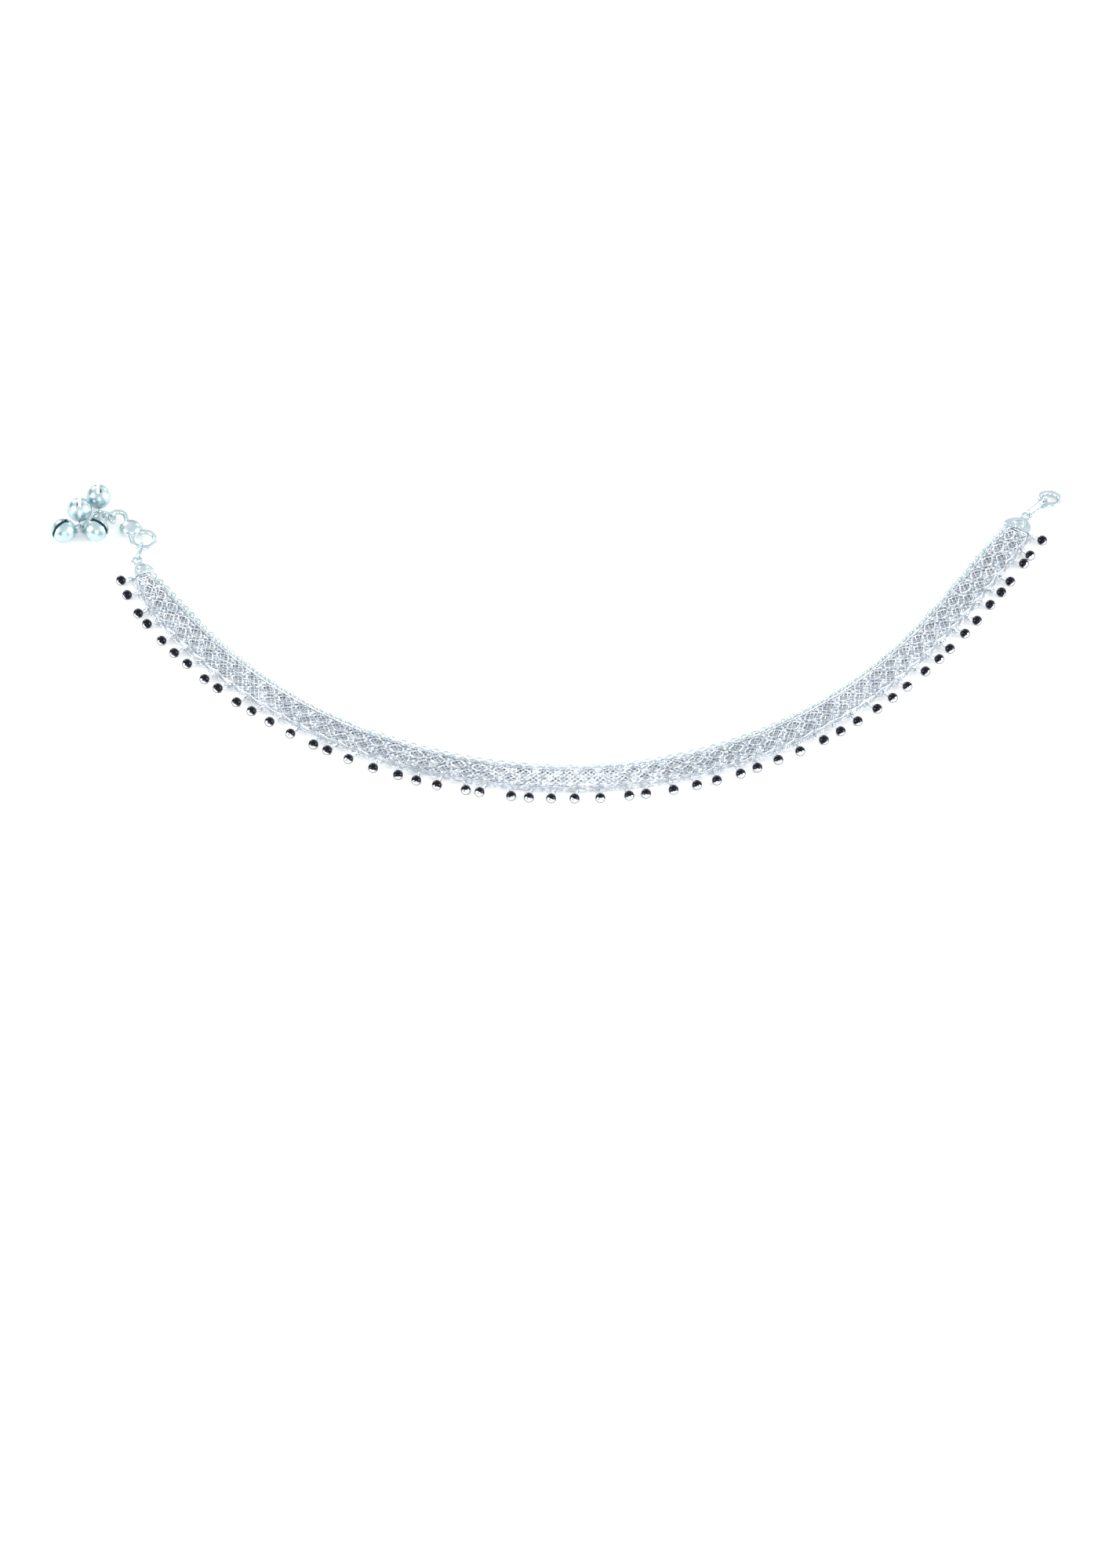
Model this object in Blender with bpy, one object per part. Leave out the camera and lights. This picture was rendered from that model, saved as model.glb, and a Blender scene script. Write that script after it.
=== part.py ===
"""Payal anklet laid open on a flat surface: a pierced silver band, its bead fringe, a hook and bells."""

import math
import random

import bmesh
import bpy
import numpy as np
from mathutils import Matrix, Vector

# Sizes are in metres, angles in degrees, and the anklet rests on z = 0

# Band
BAND_LENGTH = 0.2383
BAND_THICKNESS = 0.0013
BAND_INNER_HALF = 0.0026
BAND_OUTER_HALF = 0.0033
BEAD_COUNT = 53
HOOK_END_TAPER = 0.0014
RING_END_TAPER = 0.0004
END_TAPER_LENGTH = 0.014

# Direction of the laid band, from its left end to its right end, at shares of its length
LAID_HEADINGS = (
    {"share": 0.00, "heading": -65.0},
    {"share": 0.25, "heading": -33.0},
    {"share": 0.50, "heading": 4.5},
    {"share": 0.75, "heading": 43.5},
    {"share": 1.00, "heading": 59.0},
)

# Openings: the upper row lies between the beads, the lower row above them
UPPER_OPENING_ACROSS = -0.0009
UPPER_OPENING_HEIGHT = 0.0020
UPPER_OPENING_WIDTH = 0.0027
UPPER_OPENING_SIDE = 0.00066
LOWER_OPENING_ACROSS = 0.0013
LOWER_OPENING_HEIGHT = 0.0022
LOWER_OPENING_WIDTH = 0.0030
SCALLOP_DEPTH = 0.00045

# Edge chain and bead fringe
INNER_CHAIN_DIAMETER = 0.0014
EDGE_WIRE_DIAMETER = 0.0006
EDGE_WIRE_HEIGHT = 0.0008
EDGE_WIRE_TAIL = 0.0005
BEAD_DIAMETER = 0.0023
BEAD_DROP = 0.0026
BEAD_SWING = 24.0
BAIL_WIRE_DIAMETER = 0.0004
BAIL_RADIUS = 0.0005
BAIL_SET_IN = 0.0003
SOLDER_DEPTH = 0.0001
SWING_SEED = 7

# End caps
CAP_LENGTH = 0.0031
CAP_DOME_DIAMETER = 0.0028
CAP_DOME_HEIGHT = 0.0007
CAP_DOME_CENTRE = 0.0013
EYE_REACH = 0.0044
EYE_HOLE_DIAMETER = 0.0013
EYE_RIM = 0.00065
EYE_THICKNESS = 0.0006

# Links and rings
LINK_WIRE_DIAMETER = 0.0005
SMALL_RING_RADIUS = 0.0012
HOOK_LINK_SPAN = 0.0039
RING_LINK_SPAN = 0.0053
BELL_LINK_NEAR_SPAN = 0.0011
BELL_LINK_FAR_SPAN = 0.0034

# Hook and closing ring
HOOK_WIRE_DIAMETER = 0.0011
HOOK_LOOP_RADIUS = 0.0024
HOOK_TIP_RADIUS = 0.0016
HOOK_LOOP_SPACING = 0.0086
HOOK_LOOP_START = -20.0
HOOK_TIP_END = 100.0
HOOK_DISC_DIAMETER = 0.0050
HOOK_DISC_HEIGHT = 0.0016
HOOK_DISC_FOOT = 0.0004
CLOSING_RING_RADIUS = 0.0021
CLOSING_WIRE_DIAMETER = 0.0012

# Bells
BELL_DIAMETER = 0.0054
BELL_WALL = 0.0004
BELL_SLIT_WIDTH = 0.0007
BELL_SLIT_END = 0.2
EAR_RADIUS = 0.00062
EAR_WIRE_DIAMETER = 0.0004

# Turns of each piece against the direction that the band's end points in
HOOK_LINK_TURN = -38.0
HOOK_TURN = 13.6
BELL_LINK_NEAR_TURN = 54.0
BELL_LINK_FAR_TURN = 108.0
RING_LINK_TURN = -13.0

# Bells around their rings: the turn is measured like the others
BELLS = (
    {"name": "bell_1", "ring": "far", "turn": 100.0},
    {"name": "bell_2", "ring": "far", "turn": 217.0},
    {"name": "bell_3", "ring": "far", "turn": -25.0},
    {"name": "bell_4", "ring": "near", "turn": -21.0},
)

# Clearances
SEAM_GAP = 0.00012
LINK_GAP = 0.00015
FLOOR_GAP = 0.00002

# Facets
ROUTE_STEPS = 2000
ROUND_SIDES = 10
BEAD_RINGS = 4
WIRE_SIDES = 5
BELL_SIDES = 12
BELL_RINGS = 6
DOME_SIDES = 14
DOME_RINGS = 3
BEND_STEPS = 12
BAIL_STEPS = 3
CAP_STEPS = 8
CHAIN_POINTS = 40
SHARP_ANGLE = 50.0

# Colours
BRIGHT_SILVER = (0.86, 0.89, 0.91)
BRIGHT_ROUGHNESS = 0.22
LATTICE_SILVER = (0.74, 0.77, 0.84)
LATTICE_ROUGHNESS = 0.35
BLACKENED_SILVER = (0.16, 0.16, 0.19)
BLACKENED_ROUGHNESS = 0.18

PITCH = BAND_LENGTH / (BEAD_COUNT - 1)


def clear_scene():
    for item in list(bpy.data.objects):
        bpy.data.objects.remove(item)


def metal(name, colour, roughness):
    """Metal of one colour."""
    made = bpy.data.materials.new(name)
    made.use_nodes = True
    surface = made.node_tree.nodes["Principled BSDF"]
    surface.inputs["Base Color"].default_value = (*colour, 1.0)
    surface.inputs["Metallic"].default_value = 1.0
    surface.inputs["Roughness"].default_value = roughness
    return made


def laid_route():
    """Places and headings at even steps along the band's centre line."""
    shares = np.array([row["share"] for row in LAID_HEADINGS])
    turns = np.radians([row["heading"] for row in LAID_HEADINGS])
    bend = np.polyfit(shares, turns, len(shares) - 1)
    at = np.linspace(0.0, 1.0, ROUTE_STEPS + 1)
    heading = np.polyval(bend, at)
    middle = (heading[1:] + heading[:-1]) / 2
    step = BAND_LENGTH / ROUTE_STEPS
    x = np.concatenate(([0.0], np.cumsum(np.cos(middle)) * step))
    y = np.concatenate(([0.0], np.cumsum(np.sin(middle)) * step))
    return at * BAND_LENGTH, x, y, heading


ROUTE = laid_route()


def heading_at(along):
    """Direction in which the band runs at a distance from its left end."""
    return float(np.interp(along, ROUTE[0], ROUTE[3]))


def narrowed(along, across):
    """Distance from the centre line after the taper near both ends."""
    from_end = max(0.0, min(along, BAND_LENGTH - along))
    deepest = HOOK_END_TAPER if along < BAND_LENGTH / 2 else RING_END_TAPER
    taper = deepest * max(0.0, 1.0 - from_end / END_TAPER_LENGTH) ** 2
    share = max(-1.0, min(1.0, across / BAND_INNER_HALF))
    return across - taper * share


def on_band(along, across, height=0.0):
    """Point beside the centre line, with the bead side counted as positive."""
    inside = max(0.0, min(BAND_LENGTH, along))
    turn = heading_at(inside)
    beyond = along - inside
    side = narrowed(inside, across)
    x = float(np.interp(inside, ROUTE[0], ROUTE[1])) + beyond * math.cos(turn) + side * math.sin(turn)
    y = float(np.interp(inside, ROUTE[0], ROUTE[2])) + beyond * math.sin(turn) - side * math.cos(turn)
    return Vector((x, y, height))


def moved(point, heading, distance):
    """Point at a level distance in a heading."""
    return point + Vector((math.cos(heading), math.sin(heading), 0.0)) * distance


def placed(point, heading, dip=0.0, roll=0.0):
    """Matrix whose local x axis looks along the heading, dipped below the level and rolled about itself."""
    turn = Matrix.Rotation(heading, 4, "Z") @ Matrix.Rotation(dip, 4, "Y") @ Matrix.Rotation(roll, 4, "X")
    return Matrix.Translation(point) @ turn


def add_object(name, bm, matrix=None, finish=None):
    """Object from a bmesh; one without a finish is a hidden helper."""
    bmesh.ops.recalc_face_normals(bm, faces=bm.faces)
    mesh = bpy.data.meshes.new(name)
    bm.to_mesh(mesh)
    bm.free()
    mesh.shade_smooth()
    mesh.set_sharp_from_angle(angle=math.radians(SHARP_ANGLE))
    made = bpy.data.objects.new(name, mesh)
    made.matrix_world = matrix or Matrix.Identity(4)
    bpy.context.scene.collection.objects.link(made)
    if finish:
        mesh.materials.append(finish)
    else:
        made.hide_render = True
        made.display_type = "WIRE"
    return made


def combine(base, helper, operation):
    """Joins a helper to a piece, or cuts the piece with it."""
    step = base.modifiers.new(helper.name, "BOOLEAN")
    step.operation = operation
    step.object = helper
    step.solver = "EXACT"


def add_wire(bm, path, diameter, sides, closed, matrix=None):
    """Round wire with mitred corners along a flat path in the local xy plane."""
    radius = diameter / 2
    count = len(path)
    matrix = matrix or Matrix.Identity(4)
    rings = []
    for i, here in enumerate(path):
        before = path[i - 1] if closed or i > 0 else here
        after = path[(i + 1) % count] if closed or i < count - 1 else here
        inward = (Vector(here) - Vector(before)).normalized()
        outward = (Vector(after) - Vector(here)).normalized()
        along = (inward + outward).normalized()
        stretch = 1.0 if inward.length == 0 or outward.length == 0 else 1.0 / along.dot(outward)
        side = Vector((-along.y, along.x)) * stretch
        ring = []
        for k in range(sides):
            turn = math.tau * (k + 0.5) / sides
            flat = Vector(here) + side * radius * math.cos(turn)
            ring.append(bm.verts.new(matrix @ Vector((flat.x, flat.y, radius * math.sin(turn)))))
        rings.append(ring)
    last = count if closed else count - 1
    for i in range(last):
        a, b = rings[i], rings[(i + 1) % count]
        for k in range(sides):
            n = (k + 1) % sides
            bm.faces.new((a[k], a[n], b[n], b[k]))
    if not closed:
        bm.faces.new(rings[0])
        bm.faces.new(rings[-1])


def arc(centre, radius, start, end, steps):
    """Points of an arc, with the angles in degrees."""
    turns = np.radians(np.linspace(start, end, steps + 1))
    return [(centre[0] + radius * math.cos(t), centre[1] + radius * math.sin(t)) for t in turns]


def long_link_path(span, height, sides):
    """Centre line of an oval link whose straight sides run along x from 0 to the span."""
    half = sides // 2
    near = arc((height / 2, 0.0), height / 2, 90.0, 270.0, half)
    far = arc((span - height / 2, 0.0), height / 2, -90.0, 90.0, half)
    return near + far


def add_turned(bm, profile, sides, matrix):
    """Solid of revolution about the local z axis; a profile point of radius 0 closes an end."""
    rows = []
    for radius, height in profile:
        if radius == 0.0:
            rows.append([bm.verts.new(matrix @ Vector((0.0, 0.0, height)))])
            continue
        ring = []
        for k in range(sides):
            turn = math.tau * k / sides
            point = Vector((radius * math.cos(turn), radius * math.sin(turn), height))
            ring.append(bm.verts.new(matrix @ point))
        rows.append(ring)
    for a, b in zip(rows, rows[1:]):
        for k in range(sides):
            n = (k + 1) % sides
            if len(a) == 1:
                bm.faces.new((a[0], b[k], b[n]))
            elif len(b) == 1:
                bm.faces.new((a[k], a[n], b[0]))
            else:
                bm.faces.new((a[k], a[n], b[n], b[k]))
    for end in (rows[0], rows[-1]):
        if len(end) > 1:
            bm.faces.new(end)


def dome_profile(radius, rise, foot):
    """Low dome with a straight foot below it."""
    turns = [math.pi / 2 * i / DOME_RINGS for i in range(DOME_RINGS)]
    return [(radius, -foot)] + [(radius * math.cos(t), rise * math.sin(t)) for t in turns] + [(0.0, rise)]


def ball_profile(radius, rings):
    """Half circle from pole to pole."""
    turns = [math.pi * i / rings for i in range(rings + 1)]
    inner = [(radius * math.sin(t), -radius * math.cos(t)) for t in turns[1:-1]]
    return [(0.0, -radius)] + inner + [(0.0, radius)]


def add_prism(bm, outline, bottom, top, matrix):
    """Straight prism over a flat outline."""
    low = [bm.verts.new(matrix @ Vector((x, y, bottom))) for x, y in outline]
    high = [bm.verts.new(matrix @ Vector((x, y, top))) for x, y in outline]
    count = len(outline)
    for i in range(count):
        n = (i + 1) % count
        bm.faces.new((low[i], low[n], high[n], high[i]))
    bm.faces.new(low)
    bm.faces.new(high)


def woven_band(finish):
    """Pierced strip: each half cell is the ground between two half openings."""
    bm = bmesh.new()
    corners = {}

    def corner(along, across):
        key = (round(along, 9), round(across, 9))
        if key not in corners:
            corners[key] = bm.verts.new(on_band(along, across))
        return corners[key]

    upper = UPPER_OPENING_ACROSS
    lower = LOWER_OPENING_ACROSS
    upper_half = UPPER_OPENING_HEIGHT / 2
    lower_half = LOWER_OPENING_HEIGHT / 2
    side_half = UPPER_OPENING_SIDE / 2
    notch = BAND_OUTER_HALF - SCALLOP_DEPTH
    for i in range(BEAD_COUNT - 1):
        middle = (i + 0.5) * PITCH
        high = [corner(middle + side * UPPER_OPENING_WIDTH / 2, upper - side_half) for side in (-1, 1)]
        ends = [corner(middle + side * PITCH / 2, -BAND_INNER_HALF) for side in (-1, 1)]
        bm.faces.new((ends[0], ends[1], high[1], corner(middle, upper - upper_half), high[0]))
        for side in (-1, 1):
            bead_line = middle + side * PITCH / 2
            upper_edge = middle + side * UPPER_OPENING_WIDTH / 2
            lower_edge = bead_line - side * LOWER_OPENING_WIDTH / 2
            inner_corner = corner(bead_line, -BAND_INNER_HALF)
            upper_high = corner(upper_edge, upper - side_half)
            upper_low = corner(upper_edge, upper + side_half)
            upper_foot = corner(middle, upper + upper_half)
            peak = corner(middle, BAND_OUTER_HALF)
            dip = corner(bead_line, notch)
            faces = []
            if bead_line < PITCH / 2 or bead_line > BAND_LENGTH - PITCH / 2:
                faces.append((inner_corner, upper_high, upper_low, upper_foot, peak, dip))
            else:
                lower_side = corner(lower_edge, lower)
                lower_top = corner(bead_line, lower - lower_half)
                lower_foot = corner(bead_line, lower + lower_half)
                faces.append((inner_corner, upper_high, upper_low, lower_side, lower_top))
                faces.append((upper_low, upper_foot, peak, lower_side))
                faces.append((lower_side, peak, dip, lower_foot))
            for face in faces:
                bm.faces.new(face if side < 0 else face[::-1])
    bmesh.ops.recalc_face_normals(bm, faces=bm.faces)
    if bm.faces[0].normal.z < 0:
        bmesh.ops.reverse_faces(bm, faces=bm.faces)
    band = bpy.data.objects.new("woven_band", bpy.data.meshes.new("woven_band"))
    bm.to_mesh(band.data)
    bm.free()
    bpy.context.scene.collection.objects.link(band)
    band.data.materials.append(finish)
    sheet = band.modifiers.new("Thickness", "SOLIDIFY")
    sheet.thickness = BAND_THICKNESS
    sheet.offset = 1.0
    return band


def inner_edge_chain(finish):
    """Round chain along the inner edge."""
    radius = INNER_CHAIN_DIAMETER / 2
    across = -(BAND_INNER_HALF + SEAM_GAP + radius)
    curve = bpy.data.curves.new("inner_edge_chain", "CURVE")
    curve.dimensions = "3D"
    curve.bevel_depth = radius
    curve.bevel_resolution = 2
    curve.use_fill_caps = True
    line = curve.splines.new("POLY")
    line.points.add(CHAIN_POINTS - 1)
    for i in range(CHAIN_POINTS):
        along = BAND_LENGTH * i / (CHAIN_POINTS - 1)
        line.points[i].co = (*on_band(along, across, radius + FLOOR_GAP), 1.0)
    chain = bpy.data.objects.new("inner_edge_chain", curve)
    bpy.context.scene.collection.objects.link(chain)
    curve.materials.append(finish)
    return chain


def bead_fringe(finish):
    """Edge wire with a bail and a bead at each bead line, soldered into one body."""
    across = BAND_OUTER_HALF + SEAM_GAP + EDGE_WIRE_DIAMETER / 2
    wire = bmesh.new()
    first = -EDGE_WIRE_TAIL
    length = BAND_LENGTH + 2 * EDGE_WIRE_TAIL
    path = [on_band(first + length * i / (CHAIN_POINTS - 1), across) for i in range(CHAIN_POINTS)]
    add_wire(wire, [(p.x, p.y) for p in path], EDGE_WIRE_DIAMETER, WIRE_SIDES, False)
    fringe = add_object("bead_fringe", wire, Matrix.Translation((0.0, 0.0, EDGE_WIRE_HEIGHT)), finish)

    bead_radius = BEAD_DIAMETER / 2
    leg_end = BEAD_DROP - bead_radius + BAIL_SET_IN
    bend = arc((SOLDER_DEPTH, 0.0), BAIL_RADIUS, 90.0, 270.0, BAIL_STEPS)
    bail = [(leg_end, BAIL_RADIUS)] + bend + [(leg_end, -BAIL_RADIUS)]
    drop = bead_radius + FLOOR_GAP - EDGE_WIRE_HEIGHT
    dip = -math.asin(drop / BEAD_DROP)
    swings = random.Random(SWING_SEED)
    bails = bmesh.new()
    beads = bmesh.new()
    for i in range(BEAD_COUNT):
        along = i * PITCH
        swing = math.radians(swings.uniform(-BEAD_SWING, BEAD_SWING))
        heading = heading_at(along) - math.pi / 2 + swing
        at = placed(on_band(along, across, EDGE_WIRE_HEIGHT), heading, dip)
        upright = at @ Matrix.Rotation(math.pi / 2, 4, "X")
        add_wire(bails, bail, BAIL_WIRE_DIAMETER, WIRE_SIDES, False, upright)
        seat = at @ Matrix.Translation((BEAD_DROP, 0.0, 0.0)) @ Matrix.Rotation(math.pi / 2, 4, "Y")
        add_turned(beads, ball_profile(bead_radius, BEAD_RINGS), ROUND_SIDES, seat)
    combine(fringe, add_object("fringe_bails", bails), "UNION")
    combine(fringe, add_object("fringe_beads", beads), "UNION")
    return fringe


def height_on_links(thickness):
    """Middle height of a piece that lies on the bottom wires of the upright links."""
    return FLOOR_GAP + LINK_WIRE_DIAMETER + LINK_GAP + thickness / 2


def end_cap(name, along, heading, finish):
    """Crimped cap with a low dome, and an eye on a thinner tab at its tip."""
    low = narrowed(along, -(BAND_INNER_HALF + SEAM_GAP + INNER_CHAIN_DIAMETER))
    high = narrowed(along, BAND_OUTER_HALF - SCALLOP_DEPTH)
    middle = (low + high) / 2
    half = (high - low) / 2
    turn = heading_at(along)
    root = on_band(along, 0.0) + Vector((math.sin(turn), -math.cos(turn), 0.0)) * middle
    at = placed(moved(root, heading, SEAM_GAP), heading)
    body = bmesh.new()
    curve = [(x * CAP_LENGTH, y * half) for x, y in arc((0.0, 0.0), 1.0, -90.0, 90.0, CAP_STEPS)]
    add_prism(body, curve, 0.0, BAND_THICKNESS, at)
    cap = add_object(name, body, None, finish)

    dome = bmesh.new()
    seat = at @ Matrix.Translation((CAP_DOME_CENTRE, 0.0, BAND_THICKNESS))
    profile = dome_profile(CAP_DOME_DIAMETER / 2, CAP_DOME_HEIGHT, BAND_THICKNESS / 4)
    add_turned(dome, profile, DOME_SIDES, seat)
    combine(cap, add_object(name + "_dome", dome), "UNION")

    eye = EYE_REACH - SEAM_GAP
    rim = EYE_HOLE_DIAMETER / 2 + EYE_RIM
    height = height_on_links(EYE_THICKNESS)
    tab = bmesh.new()
    root_side = [(CAP_DOME_CENTRE, rim), (CAP_DOME_CENTRE, -rim)]
    outline = root_side + arc((eye, 0.0), rim, -90.0, 90.0, CAP_STEPS)
    add_prism(tab, outline, height - EYE_THICKNESS / 2, height + EYE_THICKNESS / 2, at)
    combine(cap, add_object(name + "_tab", tab), "UNION")
    hole = bmesh.new()
    drill = [(EYE_HOLE_DIAMETER / 2, -BAND_THICKNESS), (EYE_HOLE_DIAMETER / 2, BAND_THICKNESS * 2)]
    add_turned(hole, drill, ROUND_SIDES, at @ Matrix.Translation((eye, 0.0, 0.0)))
    combine(cap, add_object(name + "_hole", hole), "DIFFERENCE")
    return cap, moved(root, heading, EYE_REACH)


def upright_link(name, start, heading, span, inner_height, finish):
    """Oval link standing on edge; its ends pass through the pieces on both sides."""
    height = inner_height + LINK_WIRE_DIAMETER
    bm = bmesh.new()
    add_wire(bm, long_link_path(span, height, ROUND_SIDES), LINK_WIRE_DIAMETER, WIRE_SIDES, True)
    lift = height / 2 + LINK_WIRE_DIAMETER / 2 + FLOOR_GAP
    at = placed(Vector((start.x, start.y, lift)), heading, 0.0, math.pi / 2)
    return add_object(name, bm, at, finish)


def flat_ring(name, centre, radius, diameter, height, finish, heading=0.0, dip=0.0):
    """Round ring lying flat or dipped along its heading."""
    bm = bmesh.new()
    path = arc((0.0, 0.0), radius, 0.0, 360.0, ROUND_SIDES)[:-1]
    add_wire(bm, path, diameter, WIRE_SIDES, True)
    return add_object(name, bm, placed(Vector((centre.x, centre.y, height)), heading, dip), finish)


def clasp_hook(loop_centre, heading, finish):
    """Flat S of wire with a domed disc soldered over its middle."""
    bend = math.degrees(math.acos((HOOK_LOOP_RADIUS + HOOK_TIP_RADIUS) / HOOK_LOOP_SPACING))
    loop = arc((0.0, 0.0), HOOK_LOOP_RADIUS, HOOK_LOOP_START, bend - 360.0, BEND_STEPS)
    tip = arc((HOOK_LOOP_SPACING, 0.0), HOOK_TIP_RADIUS, 180.0 + bend, 360.0 + HOOK_TIP_END, BEND_STEPS)
    bm = bmesh.new()
    add_wire(bm, loop + tip, HOOK_WIRE_DIAMETER, WIRE_SIDES + 1, False)
    height = height_on_links(HOOK_WIRE_DIAMETER)
    at = placed(Vector((loop_centre.x, loop_centre.y, height)), heading)
    hook = add_object("clasp_hook", bm, at, finish)
    disc = bmesh.new()
    seat = at @ Matrix.Translation((HOOK_LOOP_SPACING / 2, 0.0, 0.0))
    profile = dome_profile(HOOK_DISC_DIAMETER / 2, HOOK_DISC_HEIGHT, HOOK_DISC_FOOT)
    add_turned(disc, profile, DOME_SIDES, seat)
    combine(hook, add_object("hook_disc", disc), "UNION")
    return hook


def bell_mesh(finish):
    """Hollow ball with an ear at local +x and a slit round the far side."""
    radius = BELL_DIAMETER / 2
    upright = Matrix.Rotation(math.pi / 2, 4, "Y")
    shell = bmesh.new()
    add_turned(shell, ball_profile(radius, BELL_RINGS), BELL_SIDES, upright)
    pattern = add_object("bell_pattern", shell, None, finish)
    hollow = bmesh.new()
    add_turned(hollow, ball_profile(radius - BELL_WALL, BEAD_RINGS), ROUND_SIDES, upright)
    ear = bmesh.new()
    path = arc((radius + EAR_RADIUS, 0.0), EAR_RADIUS, 0.0, 360.0, ROUND_SIDES)[:-1]
    add_wire(ear, path, EAR_WIRE_DIAMETER, WIRE_SIDES, True, Matrix.Rotation(math.pi / 2, 4, "X"))
    slit = bmesh.new()
    half = BELL_SLIT_WIDTH / 2
    end = -radius * BELL_SLIT_END
    outline = [(-BELL_DIAMETER, -half), (end, -half), (end, half), (-BELL_DIAMETER, half)]
    add_prism(slit, outline, -BELL_DIAMETER, BELL_DIAMETER, Matrix.Identity(4))
    combine(pattern, add_object("bell_ear", ear), "UNION")
    combine(pattern, add_object("bell_hollow", hollow), "DIFFERENCE")
    combine(pattern, add_object("bell_slit", slit), "DIFFERENCE")
    seen = pattern.evaluated_get(bpy.context.evaluated_depsgraph_get())
    mesh = bpy.data.meshes.new_from_object(seen)
    for name in ("bell_pattern", "bell_ear", "bell_hollow", "bell_slit"):
        bpy.data.objects.remove(bpy.data.objects[name])
    return mesh


def hang_bell(name, mesh, ring_centre, heading):
    """Bell on the floor beside a ring, its ear round the ring's wire."""
    radius = BELL_DIAMETER / 2
    reach = radius + EAR_RADIUS
    rise = radius + FLOOR_GAP - height_on_links(LINK_WIRE_DIAMETER)
    dip = math.asin(rise / reach)
    level = math.cos(dip) * reach
    at = moved(ring_centre, heading, SMALL_RING_RADIUS + level)
    bell = bpy.data.objects.new(name, mesh)
    bell.matrix_world = placed(Vector((at.x, at.y, radius + FLOOR_GAP)), heading + math.pi, dip)
    bpy.context.scene.collection.objects.link(bell)
    return bell


def left_end(bright):
    """Cap, link, hook and bells at the left end."""
    out = heading_at(0.0) + math.pi
    cap, eye = end_cap("end_cap_left", 0.0, out, bright)
    pieces = [cap]
    inset = EYE_HOLE_DIAMETER / 2 - LINK_GAP - LINK_WIRE_DIAMETER / 2
    hook_seat = HOOK_WIRE_DIAMETER / 2 + LINK_GAP + LINK_WIRE_DIAMETER / 2
    ring_seat = LINK_WIRE_DIAMETER + LINK_GAP
    tall = HOOK_WIRE_DIAMETER + 2 * LINK_GAP
    low = LINK_WIRE_DIAMETER + 2 * LINK_GAP

    heading = out + math.radians(HOOK_LINK_TURN)
    start = moved(eye, heading, inset)
    reach = HOOK_LINK_SPAN + LINK_WIRE_DIAMETER
    pieces.append(upright_link("hook_link", start, heading, reach, tall, bright))
    loop = moved(start, heading, reach - hook_seat + HOOK_LOOP_RADIUS)
    hook_heading = out + math.radians(HOOK_TURN)
    pieces.append(clasp_hook(loop, hook_heading, bright))
    tip = moved(loop, hook_heading, HOOK_LOOP_SPACING)

    near_heading = out + math.radians(BELL_LINK_NEAR_TURN)
    start = moved(tip, near_heading, HOOK_TIP_RADIUS - hook_seat)
    reach = hook_seat + BELL_LINK_NEAR_SPAN + ring_seat
    pieces.append(upright_link("bell_link_near", start, near_heading, reach, tall, bright))
    near = moved(start, near_heading, reach - ring_seat + SMALL_RING_RADIUS)
    pieces.append(small_ring("bell_ring_near", near, bright))

    far_heading = out + math.radians(BELL_LINK_FAR_TURN)
    start = moved(near, far_heading, SMALL_RING_RADIUS - ring_seat)
    reach = BELL_LINK_FAR_SPAN + 2 * ring_seat
    pieces.append(upright_link("bell_link_far", start, far_heading, reach, low, bright))
    far = moved(start, far_heading, reach - ring_seat + SMALL_RING_RADIUS)
    pieces.append(small_ring("bell_ring_far", far, bright))

    rings = {"near": near, "far": far}
    shape = bell_mesh(bright)
    for row in BELLS:
        turn = out + math.radians(row["turn"])
        pieces.append(hang_bell(row["name"], shape, rings[row["ring"]], turn))
    return pieces


def small_ring(name, centre, finish):
    """Ring that carries bells."""
    height = height_on_links(LINK_WIRE_DIAMETER)
    return flat_ring(name, centre, SMALL_RING_RADIUS, LINK_WIRE_DIAMETER, height, finish)


def right_end(bright):
    """Cap, link and closing ring at the right end."""
    out = heading_at(BAND_LENGTH)
    cap, eye = end_cap("end_cap_right", BAND_LENGTH, out, bright)
    heading = out + math.radians(RING_LINK_TURN)
    inset = EYE_HOLE_DIAMETER / 2 - LINK_GAP - LINK_WIRE_DIAMETER / 2
    start = moved(eye, heading, inset)
    tall = CLOSING_WIRE_DIAMETER + 2 * LINK_GAP
    reach = RING_LINK_SPAN + LINK_WIRE_DIAMETER
    link = upright_link("ring_link", start, heading, reach, tall, bright)
    seat = CLOSING_WIRE_DIAMETER / 2 + LINK_GAP + LINK_WIRE_DIAMETER / 2
    raised = height_on_links(CLOSING_WIRE_DIAMETER)
    lying = FLOOR_GAP + CLOSING_WIRE_DIAMETER / 2
    dip = math.asin((raised - lying) / (2 * CLOSING_RING_RADIUS))
    level = CLOSING_RING_RADIUS * math.cos(dip)
    centre = moved(start, heading, reach - seat + level)
    height = (raised + lying) / 2
    ring = flat_ring(
        "closing_ring", centre, CLOSING_RING_RADIUS, CLOSING_WIRE_DIAMETER, height, bright, heading, dip
    )
    return [cap, link, ring]


def centre_on_floor(pieces):
    """Puts the middle of the whole anklet over the origin."""
    graph = bpy.context.evaluated_depsgraph_get()
    points = []
    for piece in pieces:
        seen = piece.evaluated_get(graph)
        shape = seen.to_mesh()
        points.extend(seen.matrix_world @ corner.co for corner in shape.vertices)
        seen.to_mesh_clear()
    low = Vector([min(p[k] for p in points) for k in range(3)])
    high = Vector([max(p[k] for p in points) for k in range(3)])
    middle = (low + high) / 2
    anklet = bpy.data.objects.new("anklet", None)
    bpy.context.scene.collection.objects.link(anklet)
    for item in list(bpy.context.scene.objects):
        if item is not anklet:
            item.parent = anklet
    anklet.location = (-middle.x, -middle.y, 0.0)


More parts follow.
